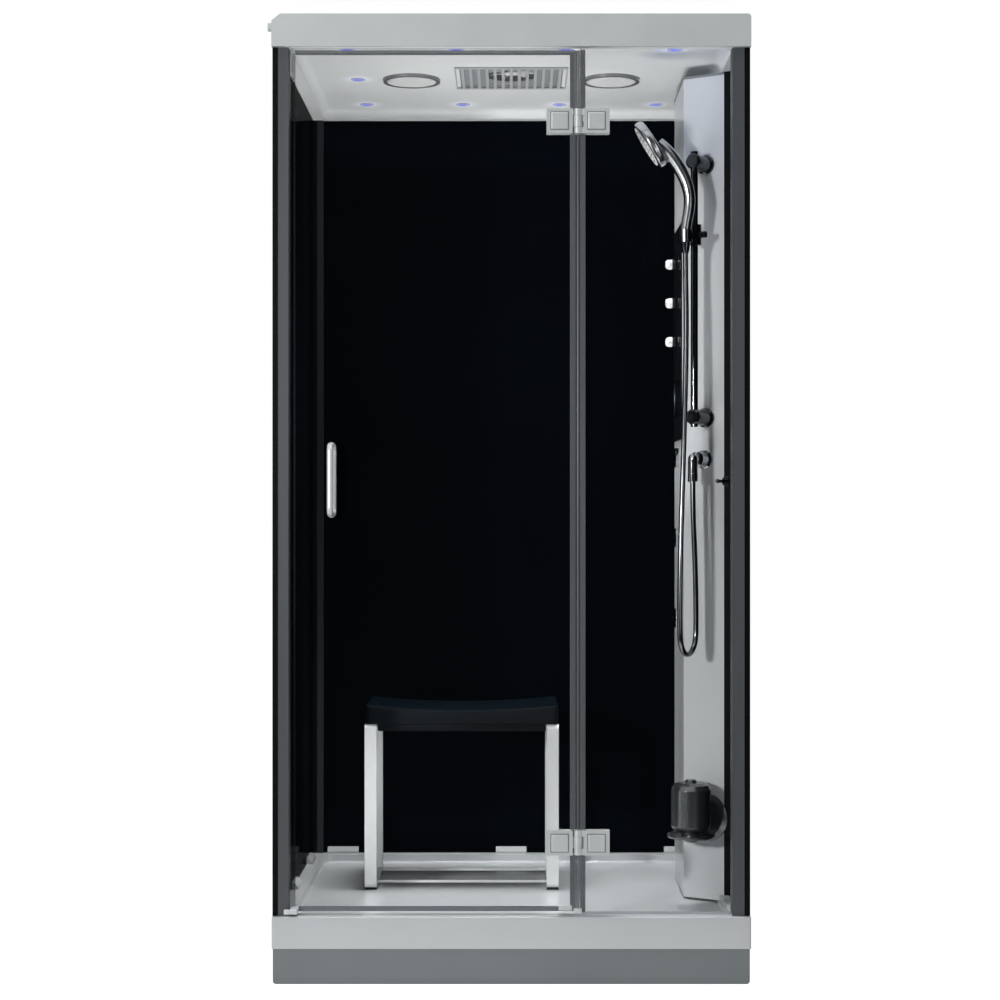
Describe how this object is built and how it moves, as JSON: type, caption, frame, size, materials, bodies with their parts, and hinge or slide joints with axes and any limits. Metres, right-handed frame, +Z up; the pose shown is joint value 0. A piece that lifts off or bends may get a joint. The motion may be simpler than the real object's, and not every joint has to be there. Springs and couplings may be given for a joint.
{
  "type": "steam shower cabin",
  "caption": "Rectangular steam shower cabin with black glass walls, hinged clear door, function column with hand shower, body jets and steam outlet, lit ceiling and a stool.",
  "frame": {"origin": "on the floor under the cabin's middle, at the centre foot's underside", "axes": "+X to the viewer's right, -Y towards the door side, +Z up"},
  "size_m": [1.1105, 0.915, 2.225],
  "materials": {
    "acrylic": "glossy pale grey acrylic",
    "grey_panel": "satin mid grey",
    "steel_frame": "galvanised grey",
    "black_plastic": "black, satin",
    "chrome": "polished",
    "dark_post": "dark grey anodised, satin",
    "black_glass": "back-painted black, glossy",
    "clear_glass": "clear",
    "clear_seal": "translucent vinyl",
    "white_plastic": "white, satin",
    "ceiling_plastic": "pale grey, satin",
    "led_lens": "lit blue violet",
    "lamp_lens": "opal",
    "brass_body": "cast",
    "copper_tube": "drawn tube",
    "rubber_black": "matt"
  },
  "bodies": {
    "cabin": {"shower_tray": "acrylic", "skirt_panels": "grey_panel", "tray_frame": "steel_frame", "adjustable_feet": "steel_frame", "drain_flange": "chrome", "drain_trap": "black_plastic", "panel_clips": "dark_post", "front_posts": "dark_post", "rear_posts": "dark_post", "glass_channels": "black_plastic", "left_wall_glass": "black_glass", "right_wall_glass": "black_glass", "back_wall_glass": "black_glass", "fixed_panel_glass": "clear_glass", "fixed_panel_seal": "clear_seal", "hinge_fixed_leaves": "chrome", "hinge_pins": "chrome", "roof_canopy": "ceiling_plastic", "ceiling_liner": "ceiling_plastic", "ceiling_grille": "white_plastic", "fan_housing": "black_plastic", "lamp_bezels": "chrome", "lamp_diffusers": "lamp_lens", "led_lenses": "led_lens", "column_shell": "ceiling_plastic", "control_panel": "black_glass", "mixer_valve": "brass_body", "inlet_pipes": "copper_tube", "jet_housings": "chrome", "riser_rail": "chrome", "rail_brackets": "chrome", "elbow_outlet": "chrome", "shower_hose": "chrome", "steam_outlet": "chrome", "steam_generator": "steel_frame", "robe_hook": "chrome"},
    "door": {"door_glass": "clear_glass", "door_hinge_seal": "clear_seal", "door_latch_seal": "clear_seal", "door_top_seal": "clear_seal", "door_bottom_seal": "clear_seal", "hinge_door_leaves": "chrome", "door_handles": "chrome"},
    "fan": {"fan_rotor": "black_plastic"},
    "knob_a": {"knob_upper": "chrome"},
    "knob_b": {"knob_centre": "chrome"},
    "knob_c": {"knob_lower": "chrome"},
    "jet_a": {"jet_ball_upper": "chrome"},
    "jet_b": {"jet_ball_centre": "chrome"},
    "jet_c": {"jet_ball_lower": "chrome"},
    "slider": {"rail_slider": "chrome"},
    "holder": {"handset_holder": "chrome"},
    "handset": {"handset_body": "chrome", "handset_face": "white_plastic", "hose_nut": "chrome"},
    "outlet_lid": {"steam_cap": "chrome"},
    "drain_lid": {"drain_cover": "chrome"},
    "stool": {"stool_frame": "chrome", "stool_tips": "rubber_black", "stool_seat": "black_plastic"}
  },
  "joints": [
    {"name": "door_hinge", "type": "hinge", "parent": "cabin", "child": "door", "pos_m": [0.154, -0.415, 1.1], "axis": [0, 0, 1], "range_deg": [0, 90]},
    {"name": "fan_spin", "type": "hinge", "parent": "cabin", "child": "fan", "pos_m": [0, -0.015, 2.19], "axis": [0, 0, 1], "continuous": true},
    {"name": "temperature_knob_turn", "type": "hinge", "parent": "cabin", "child": "knob_a", "pos_m": [0.41, 0.06, 1.713], "axis": [1, 0, 0], "range_deg": [-90, 90]},
    {"name": "diverter_knob_turn", "type": "hinge", "parent": "cabin", "child": "knob_b", "pos_m": [0.41, 0.06, 1.6145], "axis": [1, 0, 0], "range_deg": [0, 270]},
    {"name": "flow_knob_turn", "type": "hinge", "parent": "cabin", "child": "knob_c", "pos_m": [0.41, 0.06, 1.516], "axis": [1, 0, 0], "range_deg": [0, 90]},
    {"name": "upper_jet_swivel", "type": "hinge", "parent": "cabin", "child": "jet_a", "pos_m": [0.4185, 0.025, 1.22], "axis": [0, 0, 1], "range_deg": [-12, 12]},
    {"name": "centre_jet_swivel", "type": "hinge", "parent": "cabin", "child": "jet_b", "pos_m": [0.4185, 0.025, 1.018], "axis": [0, 0, 1], "range_deg": [-12, 12]},
    {"name": "lower_jet_swivel", "type": "hinge", "parent": "cabin", "child": "jet_c", "pos_m": [0.4185, 0.025, 0.815], "axis": [0, 0, 1], "range_deg": [-12, 12]},
    {"name": "slider_slide", "type": "slide", "parent": "cabin", "child": "slider", "axis": [0, 0, 1], "range_m": [-0.39, 0.125], "deforming": ["shower_hose"]},
    {"name": "handset_tilt", "type": "hinge", "parent": "slider", "child": "holder", "pos_m": [0.42646, -0.23445, 1.75], "axis": [-0.5362, -0.8441, 0], "range_deg": [-20, 20]},
    {"name": "handset_lift", "type": "slide", "parent": "holder", "child": "handset", "axis": [0, 0, 1], "range_m": [0, 0.06]},
    {"name": "steam_cap_lift", "type": "slide", "parent": "cabin", "child": "outlet_lid", "axis": [0, 0, 1], "range_m": [0, 0.05]},
    {"name": "drain_cover_lift", "type": "slide", "parent": "cabin", "child": "drain_lid", "axis": [0, 0, 1], "range_m": [0, 0.05]},
    {"name": "stool_lift", "type": "slide", "parent": "cabin", "child": "stool", "axis": [0, 0, 1], "range_m": [0, 0.3]}
  ]
}
